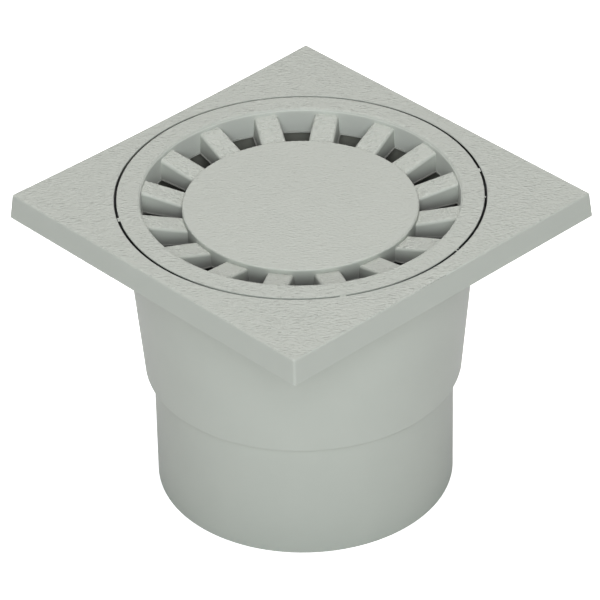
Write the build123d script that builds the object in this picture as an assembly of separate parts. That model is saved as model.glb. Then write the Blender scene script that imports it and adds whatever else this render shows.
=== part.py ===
from build123d import *
import math
import os

os.makedirs("parts", exist_ok=True)

# Lengths are in millimetres and angles in degrees. The origin is the middle of the
# spigot's lower end, +Z is up, and the sides of the square frame run along X and Y.

# Trap body: square frame on top, drafted bowl below it, spigot for the drain pipe
overall_height = 120.0
frame_base_side = 148.3
frame_flare = 0.9  # how far each side leans out from the top to the base
frame_bow = 1.2  # how far the +Y side has shrunk inwards halfway along
frame_depth = 9.5
frame_corner_radius = 1.0
frame_edge_radius = 0.8
frame_skin = 3.0
frame_wall = 2.8
rib_thickness = 2.2
rib_setback = 1.5  # from the frame's lower edge up to the ribs
ribs_per_corner = 5
rib_spread = 9.0  # from one rib of a corner to the next
rib_overlap = 1.0  # how deep a rib runs into the walls that it joins
seat_wall = 2.6
seat_lip_radius = 0.2  # also the bevel at the seat's upper lip
ledge_thickness = 3.0
bowl_base_radius = 58.15
bowl_draft = 5.0
bowl_wall = 3.0
bowl_edge_radius = 0.4
floor_thickness = 3.0
floor_round = 3.0
spigot_radius = 55.0
spigot_length = 48.4
spigot_wall = 3.2
spigot_edge_radius = 0.6
standpipe_radius = 25.5
standpipe_wall = 2.5
standpipe_root_round = 2.0
standpipe_lip_radius = 0.8

# Grate: outer ring, sunken solid disc with a collar, and bars that slope down to it
grate_radius = 65.9
grate_gap = 0.95  # all round, between the grate and its seat
grate_turn = 14.0  # of the first bar from +X
ring_depth = 10.0
ring_width = 8.4
ring_draft = 1.5  # of the bore, which narrows towards its foot
ring_wall = 2.4
ring_skin = 2.6
ring_lip_radius = 1.2
ring_edge_radius = 0.25
disc_radius = 42.6
disc_drop = 4.25
disc_thickness = 3.0
disc_edge_radius = 0.6
collar_wall = 2.4
bar_count = 16
bar_width = 9.9  # at the height of the ring's underside
bar_draft = 4.0  # of each side, which leans in towards the top
bar_inner_drop = 6.1
bar_outer_drop = 2.0
bar_edge_radius = 1.2
bar_wall = 2.0
dish_depth = 1.6  # how much lower than the ring the disc's collar ends
land_width = 0.3  # thin lip round the lower edge of each slot
land_height = 0.4
nib_count = 4
nib_width = 2.3
nib_drop = 0.4
nib_clearance = 0.3
lug_count = 4
lug_width = 9.0

# Bell: inverted cup that hangs from the grate's lugs into the water of the trap
bell_wall = 2.2
bell_bead_width = 1.1
bell_bead_height = 1.4
bell_clearance = 0.3
bell_round = 2.0
bell_edge_radius = 0.6
bell_lift = 10.5  # from the floor of the bowl up to the bell's lower edge
crown_gap = 11.5  # from the standpipe's top up to the underside of the bell's crown

# Heights that the pieces share
frame_base = overall_height - frame_depth
ledge_top = overall_height - ring_depth
ledge_base = ledge_top - ledge_thickness
floor_top = spigot_length + floor_thickness
disc_top = overall_height - disc_drop
disc_base = disc_top - disc_thickness
collar_base = ledge_top - dish_depth
bell_crown_base = disc_base - bell_wall
bell_base = floor_top + bell_lift
standpipe_top = bell_crown_base - crown_gap

# Radii that the pieces share
seat_radius = grate_radius + grate_gap
seat_outer_radius = seat_radius + seat_wall
ring_bore_radius = grate_radius - ring_width
ring_foot_radius = ring_bore_radius - ring_depth * math.tan(math.radians(ring_draft))
collar_bore_radius = disc_radius - collar_wall
bell_bead_radius = collar_bore_radius - bell_clearance
bell_radius = bell_bead_radius - bell_bead_width
full_turn = 360.0
quarter_turn = full_turn / 4


def turned(corners):
    """Solid of revolution about Z. Each corner of its outline is (radius, height, rounding)."""
    points = [(radius, height) for radius, height, rounding in corners]
    roundings = [rounding for radius, height, rounding in corners]
    wire = Plane.XZ * FilletPolyline(*points, radius=roundings, close=True)
    return revolve(make_face(wire), axis=Axis.Z)


def bowl_radius(height):
    """Outer radius of the drafted bowl at a height."""
    return bowl_base_radius + (height - spigot_length) * math.tan(math.radians(bowl_draft))


def bowed_square(side, corner):
    """Square with round corners whose +Y side bends inwards in a flat arc."""
    half = side / 2
    corners = [(-half, half), (-half, -half), (half, -half), (half, half)]
    outline = [Line(start, end) for start, end in zip(corners, corners[1:])]
    outline.append(ThreePointArc(corners[-1], (0, half - frame_bow), corners[0]))
    face = make_face(outline)
    return fillet(face.vertices(), corner)


def square_block(base_side, top_side, corner, low, high):
    """Upright block on Z with four drafted sides and round upright corners."""
    base = Plane.XY.offset(low) * bowed_square(base_side, corner)
    top = Plane.XY.offset(high) * bowed_square(top_side, corner)
    return loft([base, top], ruled=True)


def frame_shell():
    """Square frame, open underneath, with its top edge rounded."""
    top_side = frame_base_side - 2 * frame_flare
    block = square_block(frame_base_side, top_side, frame_corner_radius, frame_base, overall_height)
    top_edges = block.faces().sort_by(Axis.Z)[-1].edges()
    return fillet(top_edges, frame_edge_radius) - frame_cavity()


def frame_cavity():
    """Space under the frame's skin, inside its four walls."""
    inner_side = frame_base_side - 2 * frame_wall
    inner_top_side = inner_side - 2 * frame_flare * (frame_depth - frame_skin) / frame_depth
    corner = frame_corner_radius
    return square_block(inner_side, inner_top_side, corner, frame_base, overall_height - frame_skin)


def bowl_and_spigot():
    """Seat for the grate, ledge, bowl, floor, standpipe and spigot, as one turned wall."""
    skin_top = overall_height - frame_skin / 2
    inner_floor_radius = bowl_radius(floor_top) - bowl_wall
    inner_ledge_radius = bowl_radius(ledge_top) - bowl_wall
    standpipe_bore = standpipe_radius - standpipe_wall
    spigot_bore = spigot_radius - spigot_wall
    corners = [
        (spigot_bore, 0, 0),
        (spigot_radius, 0, spigot_edge_radius),
        (spigot_radius, spigot_length, 0),
        (bowl_base_radius, spigot_length, bowl_edge_radius),
        (bowl_radius(ledge_base), ledge_base, 0),
        (seat_outer_radius, ledge_base, seat_lip_radius),
        (seat_outer_radius, skin_top, 0),
        (seat_radius, skin_top, 0),
        (seat_radius, ledge_top, 0),
        (inner_ledge_radius, ledge_top, seat_lip_radius),
        (inner_floor_radius, floor_top, floor_round),
        (standpipe_radius, floor_top, standpipe_root_round),
        (standpipe_radius, standpipe_top, standpipe_lip_radius),
        (standpipe_bore, standpipe_top, standpipe_lip_radius),
        (standpipe_bore, spigot_length, standpipe_root_round),
        (spigot_bore, spigot_length, standpipe_root_round),
    ]
    return turned(corners)


def frame_ribs():
    """Upright ribs in each corner of the frame, fanned from the seat's wall out to the rim."""
    reach = frame_base_side
    height = frame_depth - rib_setback
    low = frame_base + rib_setback
    blade = Pos(reach / 2, 0, low + height / 2) * Box(reach, rib_thickness, height)
    first = quarter_turn / 2 - rib_spread * (ribs_per_corner - 1) / 2
    blades = [
        Rot(0, 0, corner * quarter_turn + first + index * rib_spread) * blade
        for corner in range(4)
        for index in range(ribs_per_corner)
    ]
    inside = frame_cavity() - Cylinder(
        seat_outer_radius - rib_overlap, overall_height, align=(Align.CENTER, Align.CENTER, Align.MIN)
    )
    return [blade & inside for blade in blades]


def seat_opening():
    """Round hole through the frame's skin, with a small bevel at its upper lip."""
    flare_radius = seat_radius + seat_lip_radius
    bore = Pos(0, 0, ledge_top) * Cylinder(
        seat_radius, ring_depth + frame_skin, align=(Align.CENTER, Align.CENTER, Align.MIN)
    )
    lip = turned(
        [
            (seat_radius - seat_lip_radius, overall_height - seat_lip_radius, 0),
            (seat_radius, overall_height - seat_lip_radius, 0),
            (flare_radius, overall_height, 0),
            (flare_radius, overall_height + seat_lip_radius, 0),
            (seat_radius - seat_lip_radius, overall_height + seat_lip_radius, 0),
        ]
    )
    return bore + lip


def trap_body():
    """The whole body, one moulding."""
    body = frame_shell() + bowl_and_spigot()
    for rib in frame_ribs():
        body += rib
    return body - seat_opening()


def bar_top(radius):
    """Height of a bar's top, which slopes evenly from the ring's bore down to the disc."""
    share = (radius - disc_radius) / (ring_bore_radius - disc_radius)
    return overall_height - bar_inner_drop - share * (bar_outer_drop - bar_inner_drop)


def bar_foot(start, end, rise):
    """Lower edge of a bar from one radius to another, raised by some height."""
    return [
        (start, collar_base + rise),
        (disc_radius, collar_base + rise),
        (ring_foot_radius, ledge_top + rise),
        (end, ledge_top + rise),
    ]


def radial_block(outline, widening):
    """Bar along +X with drafted sides, cut to an outline of (radius, height) corners."""
    start = min(radius for radius, height in outline)
    end = max(radius for radius, height in outline)
    lean = math.tan(math.radians(bar_draft))
    base_width = bar_width + 2 * (widening + dish_depth * lean)
    top_width = bar_width + 2 * (widening - ring_depth * lean)
    middle = Pos((start + end) / 2, 0)
    base = Plane.XY.offset(collar_base) * middle * Rectangle(end - start, base_width)
    top = Plane.XY.offset(overall_height) * middle * Rectangle(end - start, top_width)
    side = make_face(Plane.XZ * Polyline(*outline, close=True))
    return loft([base, top], ruled=True) & extrude(side, amount=base_width, both=True)


def grate_bar():
    """One bar with its upper edges rounded; both ends run into the collar and the ring."""
    start = disc_radius - collar_wall / 2
    end = ring_bore_radius + ring_wall / 2
    foot = bar_foot(start, end, 0)
    block = radial_block(foot + [(end, bar_top(end)), (start, bar_top(start))], 0)
    top_edges = block.faces().sort_by(Axis.Z)[-1].edges().sort_by(Axis.Y)
    land = radial_block(foot + bar_foot(start, end, land_height)[::-1], land_width)
    return fillet([top_edges[0], top_edges[-1]], bar_edge_radius) + land


def bar_core():
    """Space under a bar, inside its two sides."""
    outline = [
        (disc_radius, collar_base),
        (ring_foot_radius, collar_base),
        (ring_foot_radius, bar_top(ring_foot_radius) - ring_skin),
        (disc_radius, bar_top(disc_radius) - ring_skin),
    ]
    return radial_block(outline, -bar_wall)


def grate_ring():
    """Outer ring, cored out from below."""
    land_radius = ring_foot_radius - land_width
    land_top = ledge_top + land_height
    land_rise_radius = ring_foot_radius + land_height * math.tan(math.radians(ring_draft))
    corners = [
        (land_radius, ledge_top, 0),
        (ring_bore_radius + ring_wall, ledge_top, 0),
        (ring_bore_radius + ring_wall, overall_height - ring_skin, 0),
        (grate_radius - ring_wall, overall_height - ring_skin, 0),
        (grate_radius - ring_wall, ledge_top, 0),
        (grate_radius, ledge_top, 0),
        (grate_radius, overall_height, ring_edge_radius),
        (ring_bore_radius, overall_height, ring_lip_radius),
        (land_rise_radius, land_top, 0),
        (land_radius, land_top, 0),
    ]
    return turned(corners)


def grate_disc():
    """Solid middle of the grate with the collar that takes the bell."""
    corners = [
        (0, disc_base, 0),
        (collar_bore_radius, disc_base, 0),
        (collar_bore_radius, collar_base, 0),
        (disc_radius + land_width, collar_base, 0),
        (disc_radius + land_width, collar_base + land_height, 0),
        (disc_radius, collar_base + land_height, 0),
        (disc_radius, disc_top, disc_edge_radius),
        (0, disc_top, 0),
    ]
    return turned(corners)


def bell_lugs():
    """Lugs inside the collar that the bell's bead snaps over and rests on."""
    inner = bell_radius + bell_clearance
    outer = disc_radius - collar_wall / 2
    lug_top = disc_base - bell_bead_height
    corners = [(inner, collar_base, 0), (outer, collar_base, 0), (outer, lug_top, 0), (inner, lug_top, 0)]
    window = Pos(disc_radius / 2, 0, collar_base) * Box(
        disc_radius, lug_width, lug_top - collar_base, align=(Align.CENTER, Align.CENTER, Align.MIN)
    )
    lug = turned(corners) & window
    spread = full_turn / lug_count
    return [Rot(0, 0, grate_turn + index * spread) * lug for index in range(lug_count)]


def grate_nibs():
    """Upright ribs on the ring's outside that keep the grate in the middle of its seat."""
    reach = seat_radius - nib_clearance
    length = reach - grate_radius + ring_wall / 2
    nib = Pos(reach - length / 2, 0, ledge_top) * Box(
        length, nib_width, ring_depth - nib_drop, align=(Align.CENTER, Align.CENTER, Align.MIN)
    )
    spread = full_turn / nib_count
    return [Rot(0, 0, grate_turn + (index + 1 / 2) * spread) * nib for index in range(nib_count)]


def grate():
    """Ring, bars, disc and collar, one moulding, with the bars cored out from below."""
    bar = grate_bar()
    core = bar_core()
    whole = grate_ring() + grate_disc()
    for index in range(bar_count):
        turn = Rot(0, 0, grate_turn + index * full_turn / bar_count)
        whole = whole + turn * bar - turn * core
    for piece in grate_nibs() + bell_lugs():
        whole += piece
    return whole


def bell():
    """Inverted cup with a bead round its crown."""
    inner_radius = bell_radius - bell_wall
    corners = [
        (0, bell_crown_base, 0),
        (inner_radius, bell_crown_base, bell_round),
        (inner_radius, bell_base, bell_edge_radius),
        (bell_radius, bell_base, bell_edge_radius),
        (bell_radius, disc_base - bell_bead_height, 0),
        (bell_bead_radius, disc_base - bell_bead_height, 0),
        (bell_bead_radius, disc_base, 0),
        (0, disc_base, 0),
    ]
    return turned(corners)


export_step(trap_body(), "parts/trap_body.step")
export_step(grate(), "parts/grate.step")
export_step(bell(), "parts/bell.step")
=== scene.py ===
import math

import bpy
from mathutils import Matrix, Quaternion, Vector


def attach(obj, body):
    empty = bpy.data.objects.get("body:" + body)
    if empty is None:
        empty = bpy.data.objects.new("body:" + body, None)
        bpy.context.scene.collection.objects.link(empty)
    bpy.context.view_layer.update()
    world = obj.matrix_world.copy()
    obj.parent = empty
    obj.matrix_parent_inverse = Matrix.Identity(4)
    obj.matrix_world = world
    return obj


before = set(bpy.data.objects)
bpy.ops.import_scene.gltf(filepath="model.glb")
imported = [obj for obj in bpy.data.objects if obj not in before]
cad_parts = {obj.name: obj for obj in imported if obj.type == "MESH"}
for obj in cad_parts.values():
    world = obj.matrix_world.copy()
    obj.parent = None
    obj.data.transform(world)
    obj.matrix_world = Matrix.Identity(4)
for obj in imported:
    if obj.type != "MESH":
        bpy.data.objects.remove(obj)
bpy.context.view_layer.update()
print("frame loaded:", sorted(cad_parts))


# small helpers

def deselectAll():
    for item in bpy.context.selected_objects:
        item.select_set(False)


def towards(azimuth, elevation):
    # unit vector, with the azimuth from -Y and both angles in degrees
    azimuth = math.radians(azimuth)
    elevation = math.radians(elevation)
    level = math.cos(elevation)
    return Vector((math.sin(azimuth) * level, -math.cos(azimuth) * level, math.sin(elevation)))


def addNode(tree, kind, place, inputs=None, **settings):
    # an input that is given a socket is linked to it, and any other is set
    node = tree.nodes.new(kind)
    node.location = place
    for name, value in settings.items():
        setattr(node, name, value)
    for name, source in (inputs or {}).items():
        if isinstance(source, bpy.types.NodeSocket):
            tree.links.new(source, node.inputs[name])
        else:
            node.inputs[name].default_value = source
    return node


def newGroup(name, inputs, outputs):
    # inputs hold each socket's start value, a tuple for a vector
    tree = bpy.data.node_groups.new(name, "ShaderNodeTree")
    for label, start in inputs.items():
        kind = "NodeSocketVector" if isinstance(start, tuple) else "NodeSocketFloat"
        tree.interface.new_socket(name=label, in_out="INPUT", socket_type=kind).default_value = start
    for label in outputs:
        tree.interface.new_socket(name=label, in_out="OUTPUT", socket_type="NodeSocketFloat")
    return tree, addNode(tree, "NodeGroupInput", (-1100, 0)), addNode(tree, "NodeGroupOutput", (1100, 0))


def multiplied(tree, place, first, second):
    node = addNode(tree, "ShaderNodeMath", place, {0: first, 1: second}, operation="MULTIPLY")
    return node.outputs["Value"]


def objectPlace(tree, place):
    return addNode(tree, "ShaderNodeTexCoord", place).outputs["Object"]


def splitPlace(tree, place):
    return addNode(tree, "ShaderNodeSeparateXYZ", place, {"Vector": objectPlace(tree, place)}).outputs


def flatPlace(tree, place, split):
    # the place seen along Z, with its height left out
    return addNode(tree, "ShaderNodeCombineXYZ", place, {"X": split["X"], "Y": split["Y"]}).outputs["Vector"]


def tiltOf(tree, place, normal):
    # 1 on a face that looks up, 0 on an upright one
    return addNode(tree, "ShaderNodeSeparateXYZ", place, {"Vector": normal}).outputs["Z"]


# camera

cameraSettings = {
    "azimuth": -43.18,  # degrees, as the photograph looks at the front corner of the frame
    "elevation": 34.49,
    "roll": -1.16,
    "distance": 1.5587,  # from the middle of the spigot's lower end
    "sideways": -0.0009,
    "upward": 0.0609,
    "lens": 250.0,
    "sensor": 36.0,
    "nearest": 0.05,
    "farthest": 50.0,
}


def addCamera(settings):
    azimuth = math.radians(settings["azimuth"])
    back = towards(settings["azimuth"], settings["elevation"])
    right = Vector((math.cos(azimuth), math.sin(azimuth), 0))
    up = back.cross(right)
    data = bpy.data.cameras.new("photoCamera")
    data.lens = settings["lens"]
    data.sensor_width = settings["sensor"]
    data.clip_start = settings["nearest"]
    data.clip_end = settings["farthest"]
    camera = bpy.data.objects.new("photoCamera", data)
    bpy.context.scene.collection.objects.link(camera)
    camera.location = back * settings["distance"] + right * settings["sideways"] + up * settings["upward"]
    camera.rotation_mode = "QUATERNION"
    level = (-back).to_track_quat("-Z", "Y")
    camera.rotation_quaternion = Quaternion(back, math.radians(settings["roll"])) @ level
    bpy.context.scene.camera = camera


addCamera(cameraSettings)
print("camera placed")


# studio: a soft lamp on the camera's side, one above, weaker ones behind, and a pale floor

studio = {
    "surround": (0.93, 0.95, 0.97),
    "surroundStrength": 0.06,
    "aim": (0, 0, 0.06),
    "reach": 1.6,  # metres from the aim to each lamp
    "floorSide": 6.0,
    "floorColor": (0.93, 0.93, 0.925),
    "floorGlow": 0.8,  # for the eye alone
    "bounceGlow": 0.09,  # what the floor throws back at the part
    "speckleScale": 900.0,
    "floorRoughness": (0.55, 0.7),
}

coolLight = (0.96, 1.0, 1.03)
warmLight = (1.045, 1.0, 1.02)

# azimuth and elevation in degrees, disk size in metres, power in watts
lamps = {
    "keyLamp": {"azimuth": -43, "elevation": 34, "size": 0.9, "power": 15.7, "color": coolLight},
    "skyLamp": {"azimuth": -43, "elevation": 88, "size": 0.8, "power": 12.8, "color": warmLight},
    "backLamp": {"azimuth": 137, "elevation": 50, "size": 0.8, "power": 5.5, "color": warmLight},
    "leftRearLamp": {"azimuth": -172, "elevation": 12, "size": 0.6, "power": 2.0, "color": coolLight},
    "rightRearLamp": {"azimuth": 86, "elevation": 12, "size": 0.6, "power": 2.0, "color": coolLight},
}


def addLamp(name, look, aim, reach):
    data = bpy.data.lights.new(name, "AREA")
    data.shape = "DISK"
    data.size = look["size"]
    data.energy = look["power"]
    data.color = look["color"]
    lamp = bpy.data.objects.new(name, data)
    bpy.context.scene.collection.objects.link(lamp)
    side = towards(look["azimuth"], look["elevation"])
    lamp.location = Vector(aim) + side * reach
    lamp.rotation_mode = "QUATERNION"
    lamp.rotation_quaternion = (-side).to_track_quat("-Z", "Y")


def addStudio(settings):
    world = bpy.data.worlds.new("studioWorld")
    world.use_nodes = True
    background = world.node_tree.nodes["Background"]
    background.inputs["Color"].default_value = (*settings["surround"], 1)
    background.inputs["Strength"].default_value = settings["surroundStrength"]
    bpy.context.scene.world = world
    for name, look in lamps.items():
        addLamp(name, look, settings["aim"], settings["reach"])
    view = bpy.context.scene.view_settings
    view.view_transform = "Standard"
    view.look = "None"


def floorMaterial(settings):
    material = bpy.data.materials.new("paleFloor")
    material.use_nodes = True
    tree = material.node_tree
    shader = tree.nodes["Principled BSDF"]
    speckle = addNode(
        tree,
        "ShaderNodeTexNoise",
        (-500, 0),
        {"Vector": objectPlace(tree, (-700, 0)), "Scale": settings["speckleScale"]},
    )
    smoothest, roughest = settings["floorRoughness"]
    roughness = addNode(
        tree,
        "ShaderNodeMapRange",
        (-300, 0),
        {"Value": speckle.outputs["Fac"], "To Min": smoothest, "To Max": roughest},
    )
    seen = addNode(tree, "ShaderNodeLightPath", (-500, -300))
    glow = addNode(
        tree,
        "ShaderNodeMath",
        (-300, -300),
        {0: seen.outputs["Is Camera Ray"], 1: settings["floorGlow"], 2: settings["bounceGlow"]},
        operation="MULTIPLY_ADD",
    )
    shader.inputs["Base Color"].default_value = (*settings["floorColor"], 1)
    shader.inputs["Emission Color"].default_value = (*settings["floorColor"], 1)
    tree.links.new(roughness.outputs["Result"], shader.inputs["Roughness"])
    tree.links.new(glow.outputs["Value"], shader.inputs["Emission Strength"])
    return material


def addFloor(settings):
    deselectAll()
    bpy.ops.mesh.primitive_plane_add(size=settings["floorSide"], location=(0, 0, 0))
    floor = bpy.context.object
    floor.name = "floor"
    floor.data.materials.append(floorMaterial(settings))
    floor.select_set(False)


addStudio(studio)
addFloor(studio)
print("studio lit")


# shader groups that the three plastics share

grainLay = {
    "turn": -43,  # degrees about Z: the wrinkles run longer across one diagonal of the square
    "stretch": 1.8,
    "bendDetail": 1,
    "wrinkleDetail": 2,
}


def leatherGrainGroup(lay):
    # fine wrinkles of a leather-grained mould, as a height from 0 to 1
    tree, entry, leave = newGroup(
        "leatherGrain",
        {
            "Wrinkle Scale": 820.0,
            "Pebble Scale": 1150.0,
            "Pebble Share": 0.4,
            "Pebble Softness": 0.35,
            "Bend Scale": 420.0,
            "Bend Reach": 0.0009,
        },
        ("Height",),
    )
    given = entry.outputs
    turn = (0, 0, math.radians(lay["turn"]))
    along = addNode(
        tree,
        "ShaderNodeMapping",
        (-800, 300),
        {"Vector": objectPlace(tree, (-1000, 300)), "Rotation": turn, "Scale": (lay["stretch"], 1, 1)},
        vector_type="TEXTURE",
    ).outputs["Vector"]
    bend = addNode(
        tree,
        "ShaderNodeTexNoise",
        (-600, 300),
        {"Vector": along, "Scale": given["Bend Scale"], "Detail": lay["bendDetail"]},
    )
    spread = addNode(
        tree,
        "ShaderNodeVectorMath",
        (-400, 300),
        {0: bend.outputs["Color"], "Scale": given["Bend Reach"]},
        operation="SCALE",
    )
    bent = addNode(
        tree, "ShaderNodeVectorMath", (-200, 300), {0: along, 1: spread.outputs["Vector"]}, operation="ADD"
    ).outputs["Vector"]
    wrinkle = addNode(
        tree,
        "ShaderNodeTexNoise",
        (0, 300),
        {"Vector": bent, "Scale": given["Wrinkle Scale"], "Detail": lay["wrinkleDetail"]},
        noise_type="RIDGED_MULTIFRACTAL",
        normalize=True,
    )
    pebble = addNode(
        tree,
        "ShaderNodeTexVoronoi",
        (0, 0),
        {"Vector": bent, "Scale": given["Pebble Scale"], "Smoothness": given["Pebble Softness"]},
        feature="SMOOTH_F1",
    )
    blend = addNode(
        tree,
        "ShaderNodeMix",
        (300, 100),
        {"Factor": given["Pebble Share"], "A": wrinkle.outputs["Fac"], "B": pebble.outputs["Distance"]},
        data_type="FLOAT",
    )
    tree.links.new(blend.outputs["Result"], leave.inputs["Height"])
    return tree


def upperFaceGroup():
    # 1 on faces that look up near the top of the part, 0 on walls and inside the bowl
    tree, entry, leave = newGroup(
        "upperFace", {"Lowest": 0.1132, "Level Enough": 0.6, "Fully Level": 0.97}, ("Mask",)
    )
    given = entry.outputs
    height = splitPlace(tree, (-700, 200))["Z"]
    normal = addNode(tree, "ShaderNodeNewGeometry", (-700, -100)).outputs["Normal"]
    tilt = tiltOf(tree, (-500, -100), normal)
    high = addNode(
        tree, "ShaderNodeMath", (-300, 200), {0: height, 1: given["Lowest"]}, operation="GREATER_THAN"
    )
    level = addNode(
        tree,
        "ShaderNodeMapRange",
        (-300, -100),
        {"Value": tilt, "From Min": given["Level Enough"], "From Max": given["Fully Level"]},
        interpolation_type="SMOOTHSTEP",
    )
    mask = multiplied(tree, (0, 0), high.outputs["Value"], level.outputs["Result"])
    tree.links.new(mask, leave.inputs["Mask"])
    return tree


skinLay = {
    "waveDetail": 3,
    "drawMarkDetail": 2,
    "drawMarkSquash": 0.03,  # of the pattern along Z, which draws the marks out
}


def mouldedSkinGroup(lay):
    # smooth moulded face: slow waves of flow and shrinkage, and fine draw marks along Z
    tree, entry, leave = newGroup(
        "mouldedSkin",
        {"Wave Scale": 60.0, "Draw Mark Scale": 900.0, "Draw Mark Share": 0.15},
        ("Height", "Mottle"),
    )
    given = entry.outputs
    place = objectPlace(tree, (-900, 0))
    long = addNode(
        tree, "ShaderNodeMapping", (-700, -200), {"Vector": place, "Scale": (1, 1, lay["drawMarkSquash"])}
    )
    wave = addNode(
        tree,
        "ShaderNodeTexNoise",
        (-500, 200),
        {"Vector": place, "Scale": given["Wave Scale"], "Detail": lay["waveDetail"]},
    ).outputs["Fac"]
    draw = addNode(
        tree,
        "ShaderNodeTexNoise",
        (-500, -200),
        {
            "Vector": long.outputs["Vector"],
            "Scale": given["Draw Mark Scale"],
            "Detail": lay["drawMarkDetail"],
        },
    )
    blend = addNode(
        tree,
        "ShaderNodeMix",
        (0, 0),
        {"Factor": given["Draw Mark Share"], "A": wave, "B": draw.outputs["Fac"]},
        data_type="FLOAT",
    )
    tree.links.new(blend.outputs["Result"], leave.inputs["Height"])
    tree.links.new(wave, leave.inputs["Mottle"])
    return tree


def ringMaskGroup():
    # 1 between two radii about Z and two heights, on faces that look neither outward nor down
    tree, entry, leave = newGroup(
        "ringMask",
        {
            "Inner Radius": 0.0,
            "Outer Radius": 0.067,
            "Lowest": 0.0495,
            "Highest": 0.1194,
            "Outward Limit": 0.5,
            "Lowest Tilt": -0.5,
        },
        ("Mask",),
    )
    split = splitPlace(tree, (-900, 400))
    flat = flatPlace(tree, (-700, 400), split)
    normal = addNode(tree, "ShaderNodeNewGeometry", (-900, -200)).outputs["Normal"]
    tilt = tiltOf(tree, (-300, -200), normal)
    radius = addNode(tree, "ShaderNodeVectorMath", (-500, 500), {0: flat}, operation="LENGTH")
    ray = addNode(tree, "ShaderNodeVectorMath", (-500, 300), {0: flat}, operation="NORMALIZE")
    outward = addNode(
        tree,
        "ShaderNodeVectorMath",
        (-300, 200),
        {0: ray.outputs["Vector"], 1: normal},
        operation="DOT_PRODUCT",
    )
    tests = (
        (radius.outputs["Value"], "GREATER_THAN", "Inner Radius"),
        (radius.outputs["Value"], "LESS_THAN", "Outer Radius"),
        (split["Z"], "GREATER_THAN", "Lowest"),
        (split["Z"], "LESS_THAN", "Highest"),
        (outward.outputs["Value"], "LESS_THAN", "Outward Limit"),
        (tilt, "GREATER_THAN", "Lowest Tilt"),
    )
    mask = 1.0
    for row, (value, operation, limit) in enumerate(tests):
        passed = addNode(
            tree,
            "ShaderNodeMath",
            (-100, 500 - 180 * row),
            {0: value, 1: entry.outputs[limit]},
            operation=operation,
        )
        mask = multiplied(tree, (100 + 150 * row, 0), passed.outputs["Value"], mask)
    tree.links.new(mask, leave.inputs["Mask"])
    return tree


def wallShadeGroup():
    # how much light is lost down a steep wall, from 0 at the upper height to 1 at the lower one,
    # and on the narrow level strips down in the slots, which lie in the same shade
    tree, entry, leave = newGroup(
        "wallShade",
        {
            "Light Height": 0.1158,
            "Dark Height": 0.109,
            "Strip Height": 0.1118,
            "Fully Steep": 0.5,
            "Fully Level": 0.95,
        },
        ("Shade",),
    )
    given = entry.outputs
    height = splitPlace(tree, (-700, 200))["Z"]
    normal = addNode(tree, "ShaderNodeNewGeometry", (-700, -200)).outputs["Normal"]
    fall = addNode(
        tree,
        "ShaderNodeMapRange",
        (-200, 200),
        {
            "Value": height,
            "From Min": given["Dark Height"],
            "From Max": given["Light Height"],
            "To Min": 1,
            "To Max": 0,
        },
        interpolation_type="SMOOTHSTEP",
    )
    steep = addNode(
        tree,
        "ShaderNodeMapRange",
        (-200, -200),
        {
            "Value": tiltOf(tree, (-500, -200), normal),
            "From Min": given["Fully Steep"],
            "From Max": given["Fully Level"],
            "To Min": 1,
            "To Max": 0,
        },
        interpolation_type="SMOOTHSTEP",
    )
    strip = addNode(
        tree, "ShaderNodeMath", (-200, -450), {0: height, 1: given["Strip Height"]}, operation="LESS_THAN"
    )
    shaded = addNode(
        tree,
        "ShaderNodeMath",
        (0, -300),
        {0: steep.outputs["Result"], 1: strip.outputs["Value"]},
        operation="MAXIMUM",
    )
    shade = multiplied(tree, (200, 0), fall.outputs["Result"], shaded.outputs["Value"])
    tree.links.new(shade, leave.inputs["Shade"])
    return tree


def sideMaskGroup():
    # 1 towards one side of Z, falling to 0 away from it
    tree, entry, leave = newGroup(
        "sideMask", {"Direction": (1, 0, 0), "Zero Cosine": 0.3, "Full Cosine": 0.85}, ("Mask",)
    )
    given = entry.outputs
    flat = flatPlace(tree, (-500, 0), splitPlace(tree, (-700, 0)))
    ray = addNode(tree, "ShaderNodeVectorMath", (-300, 0), {0: flat}, operation="NORMALIZE")
    cosine = addNode(
        tree,
        "ShaderNodeVectorMath",
        (-100, 0),
        {0: ray.outputs["Vector"], 1: given["Direction"]},
        operation="DOT_PRODUCT",
    )
    fall = addNode(
        tree,
        "ShaderNodeMapRange",
        (100, 0),
        {
            "Value": cosine.outputs["Value"],
            "From Min": given["Zero Cosine"],
            "From Max": given["Full Cosine"],
        },
        interpolation_type="SMOOTHSTEP",
    )
    tree.links.new(fall.outputs["Result"], leave.inputs["Mask"])
    return tree


leatherGrain = leatherGrainGroup(grainLay)
upperFace = upperFaceGroup()
mouldedSkin = mouldedSkinGroup(skinLay)
ringMask = ringMaskGroup()
wallShade = wallShadeGroup()
sideMask = sideMaskGroup()


# plastics of the three mouldings

# where painted shade, painted light and the disc's grain finish lie, as values for ringMask, whose own ones
# fit the bowl's inside
zones = {
    "bowlInside": {},
    "ringWall": {"Inner Radius": 0.0565, "Outer Radius": 0.0648, "Lowest": 0.108, "Outward Limit": -0.7},
    "gap": {
        "Inner Radius": 0.0648,
        "Outer Radius": 0.0672,
        "Lowest": 0.105,
        "Highest": 0.1196,
        "Outward Limit": 2.0,
    },
    "disc": {"Outer Radius": 0.0427, "Lowest": 0.11, "Highest": 1.0, "Outward Limit": 2.0},
}

# painted shade and painted light, as tones mixed into the plastics' colour
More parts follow.
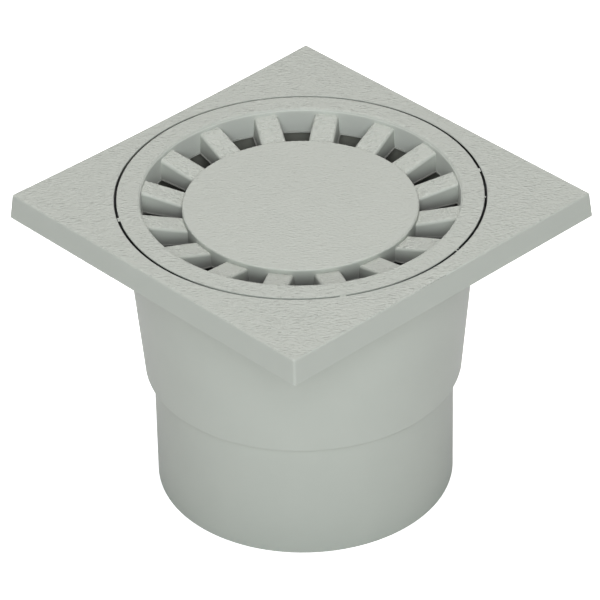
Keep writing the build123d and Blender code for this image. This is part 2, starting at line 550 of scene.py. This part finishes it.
shades = {
    # painted shade: a darker tone inside the bowl, and a near-black one deeper down it
    "paintedInsideShade": (0.25, 0.25, 0.215),
    "paintedDepthShade": (0.02, 0.02, 0.017),
    "depth": {"Light Height": 0.104, "Dark Height": 0.088},  # down the bowl
    # painted shade: a dark tone down the grate's steep walls and on the level strips in the slots
    "paintedWallShade": (0.21, 0.212, 0.195),
    # painted light: a lighter tone on the ring's inner wall, which also keeps only a share of the painted
    # wall shade
    "paintedRingWallLight": (0.6, 0.625, 0.57),
    "ringWallShare": 0.25,  # of the wall's loss of light
    # painted shade: a near-black tone in the gap round the grate
    "paintedGapShade": (0.008, 0.009, 0.008),
    # the sides on which the painted shade in the gap round the grate is darkest, and its share of that shade
    # elsewhere
    "gapSides": (
        {"Direction": (0.729, -0.684, 0), "Zero Cosine": 0.3, "Full Cosine": 0.85},
        {"Direction": (-0.9205, 0.3907, 0), "Zero Cosine": 0.7, "Full Cosine": 0.93},
    ),
    "gapLightShare": 0.2,
}

# inside, wall and gap are the shares of those painted shades, wall also that of the ring wall's painted
# light, and quietGrain is the grain's share on the disc
plastics = {
    "trap_body": {
        "slot": "body_plastic",
        "light": (0.475, 0.498, 0.448),
        "dark": (0.455, 0.480, 0.430),
        "inside": 1.0,
        "wall": 0.0,
        "gap": 1.0,
        "grainDepth": 0.0009,
        "quietGrain": 1.0,
        "skinDepth": 0.00004,
        "smoothRoughness": 0.45,
        "grainRoughness": 0.55,
        "sheen": 0.05,
    },
    "grate": {
        "slot": "grate_plastic",
        "light": (0.475, 0.498, 0.448),
        "dark": (0.455, 0.480, 0.430),
        "inside": 0.0,
        "wall": 1.0,
        "gap": 1.0,
        "grainDepth": 0.0009,
        "quietGrain": 0.5,
        "skinDepth": 0.00004,
        "smoothRoughness": 0.45,
        "grainRoughness": 0.55,
        "sheen": 0.05,
    },
    # the bell's near-black tone is painted shade, standing for the shade deep inside the trap
    "bell": {
        "slot": "bell_plastic",
        "light": (0.075, 0.078, 0.07),
        "dark": (0.065, 0.068, 0.06),
        "inside": 0.0,
        "wall": 0.0,
        "gap": 0.0,
        "grainDepth": 0.0,
        "quietGrain": 1.0,
        "skinDepth": 0.00004,
        "smoothRoughness": 0.4,
        "grainRoughness": 0.4,
        "sheen": 0.0,
    },
}

plasticGloss = {"IOR": 1.49, "Specular IOR Level": 0.25, "Sheen Roughness": 0.3}


def zoneMask(tree, place, zone):
    return addNode(tree, "ShaderNodeGroup", place, zones[zone], node_tree=ringMask).outputs["Mask"]


def gapShade(tree):
    # the painted shade of the gap, less on the sides where it lies open to the light
    sides = [
        addNode(tree, "ShaderNodeGroup", (-1500, 1300 + 200 * row), side, node_tree=sideMask).outputs["Mask"]
        for row, side in enumerate(shades["gapSides"])
    ]
    darkest = addNode(tree, "ShaderNodeMath", (-1300, 1300), dict(enumerate(sides)), operation="MAXIMUM")
    share = addNode(
        tree,
        "ShaderNodeMapRange",
        (-1100, 1300),
        {"Value": darkest.outputs["Value"], "To Min": shades["gapLightShare"]},
    )
    return multiplied(tree, (-900, 1300), zoneMask(tree, (-1100, 1100), "gap"), share.outputs["Result"])


def wallLoss(tree, ringWall):
    # painted shade down the grate's steep walls, with only a share of it on the ring's inner wall
    walls = addNode(tree, "ShaderNodeGroup", (-1300, 900), node_tree=wallShade)
    spared = addNode(
        tree,
        "ShaderNodeMapRange",
        (-1300, 1100),
        {"Value": ringWall, "To Min": 1, "To Max": shades["ringWallShare"]},
    )
    return multiplied(tree, (-1100, 900), walls.outputs["Shade"], spared.outputs["Result"])


# the plastic's tone, with painted shade inside the bowl, down the grate's walls and in the gap, and painted
# light on the ring's inner wall
def plasticColor(tree, look, mottle):
    color = addNode(
        tree,
        "ShaderNodeMix",
        (-900, 700),
        {"Factor": mottle, "A": (*look["dark"], 1), "B": (*look["light"], 1)},
        data_type="RGBA",
    ).outputs["Result"]
    inside = zoneMask(tree, (-1100, 500), "bowlInside")
    ringWall = zoneMask(tree, (-1500, 900), "ringWall")
    depth = addNode(tree, "ShaderNodeGroup", (-1300, 500), shades["depth"], node_tree=wallShade)
    deepInside = multiplied(tree, (-900, 300), inside, depth.outputs["Shade"])
    steps = (
        ("paintedInsideShade", inside, "inside"),
        ("paintedDepthShade", deepInside, "inside"),
        ("paintedRingWallLight", ringWall, "wall"),
        ("paintedWallShade", wallLoss(tree, ringWall), "wall"),
        ("paintedGapShade", gapShade(tree), "gap"),
    )
    for column, (tone, mask, share) in enumerate(steps):
        factor = multiplied(tree, (-800 + 160 * column, 900), mask, look[share])
        color = addNode(
            tree,
            "ShaderNodeMix",
            (-700 + 160 * column, 700),
            {"Factor": factor, "A": color, "B": (*shades[tone], 1)},
            data_type="RGBA",
        ).outputs["Result"]
    return color


def plasticHeight(tree, look, upper, skinHeight):
    grain = addNode(tree, "ShaderNodeGroup", (-1100, 200), node_tree=leatherGrain)
    depth = addNode(
        tree,
        "ShaderNodeMapRange",
        (-900, 0),
        {
            "Value": zoneMask(tree, (-1100, 0), "disc"),
            "To Min": look["grainDepth"],
            "To Max": look["grainDepth"] * look["quietGrain"],
        },
    )
    masked = multiplied(tree, (-700, 200), grain.outputs["Height"], upper)
    deep = multiplied(tree, (-500, 200), masked, depth.outputs["Result"])
    skin = multiplied(tree, (-500, -200), skinHeight, look["skinDepth"])
    return addNode(tree, "ShaderNodeMath", (-300, 0), {0: deep, 1: skin}, operation="ADD").outputs["Value"]


def plasticMaterial(name, look):
    material = bpy.data.materials.new(name)
    material.use_nodes = True
    tree = material.node_tree
    shader = tree.nodes["Principled BSDF"]
    for socket, value in plasticGloss.items():
        shader.inputs[socket].default_value = value
    shader.inputs["Sheen Weight"].default_value = look["sheen"]
    upper = addNode(tree, "ShaderNodeGroup", (-1100, -200), node_tree=upperFace).outputs["Mask"]
    skin = addNode(tree, "ShaderNodeGroup", (-1100, -400), node_tree=mouldedSkin).outputs
    roughness = addNode(
        tree,
        "ShaderNodeMix",
        (-300, 300),
        {"Factor": upper, "A": look["smoothRoughness"], "B": look["grainRoughness"]},
        data_type="FLOAT",
    )
    height = plasticHeight(tree, look, upper, skin["Height"])
    bump = addNode(
        tree, "ShaderNodeBump", (-150, -100), {"Height": height, "Strength": 1, "Distance": 1}
    )
    tree.links.new(plasticColor(tree, look, skin["Mottle"]), shader.inputs["Base Color"])
    tree.links.new(roughness.outputs["Result"], shader.inputs["Roughness"])
    tree.links.new(bump.outputs["Normal"], shader.inputs["Normal"])
    return material


for node, look in plastics.items():
    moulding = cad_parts[node]
    moulding.data.materials.clear()
    moulding.data.materials.append(plasticMaterial(node + "Plastic", look))
print("plastics given to", ", ".join(plastics))


# flash burrs left in the gap round the grate

burrs = {
    # angle about Z in degrees, then metres: reach across the gap, width along it, tallness
    "places": (
        (281.8, 0.0008, 0.0005, 0.0006),
        (283.1, 0.0004, 0.0004, 0.0004),
        (313.3, 0.0005, 0.0006, 0.0006),
    ),
    "foot": 0.06575,  # radius inside the grate's rim, where each burr starts
    "root": 0.0002,  # extra length, which is in the rim
    "top": 0.11985,
    "tipShare": 0.45,
    "edge": 0.00006,
    "edgeSteps": 2,
    "smoothAngle": 40,
}
facesOutward = 0.9  # least cosine between a face's normal and the way out


def addBurr(angle, reach, width, tall):
    # a stub in the rim, whose outer face is drawn out to a narrow tip
    turn = math.radians(angle)
    outward = Vector((math.cos(turn), math.sin(turn), 0))
    half = (reach + burrs["root"]) / 2
    place = outward * (burrs["foot"] + half / 2) + Vector((0, 0, burrs["top"] - tall / 2))
    deselectAll()
    bpy.ops.mesh.primitive_cube_add(size=1, location=place, rotation=(0, 0, turn))
    burr = bpy.context.object
    burr.scale = (half, width, tall)
    bpy.ops.object.transform_apply(location=True, rotation=True, scale=True)
    bpy.ops.object.mode_set(mode="EDIT")
    bpy.ops.mesh.select_mode(type="FACE")
    bpy.ops.mesh.select_all(action="DESELECT")
    bpy.ops.object.mode_set(mode="OBJECT")
    for face in burr.data.polygons:
        face.select = face.normal.dot(outward) > facesOutward
    bpy.ops.object.mode_set(mode="EDIT")
    bpy.ops.mesh.extrude_region_move(TRANSFORM_OT_translate={"value": outward * half})
    tip = place + outward * (half * 3 / 2)
    bpy.ops.transform.resize(value=(burrs["tipShare"],) * 3, center_override=tip)
    bpy.ops.mesh.select_all(action="SELECT")
    bpy.ops.mesh.bevel(offset=burrs["edge"], segments=burrs["edgeSteps"], affect="EDGES")
    bpy.ops.mesh.normals_make_consistent(inside=False)
    bpy.ops.object.mode_set(mode="OBJECT")
    return burr


def addBurrs():
    made = [addBurr(*place) for place in burrs["places"]]
    deselectAll()
    for burr in made:
        burr.select_set(True)
    bpy.context.view_layer.objects.active = made[0]
    bpy.ops.object.join()
    piece = bpy.context.object
    piece.name = "gapBurrs"
    # the joined piece's origin goes back to the shared one
    bpy.context.scene.cursor.location = (0, 0, 0)
    bpy.ops.object.origin_set(type="ORIGIN_CURSOR")
    bpy.ops.object.shade_smooth_by_angle(angle=math.radians(burrs["smoothAngle"]))
    piece.data.materials.clear()
    piece.data.materials.append(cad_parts["grate"].data.materials[0])
    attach(piece, "root")
    piece.select_set(False)


addBurrs()
print("burrs added")
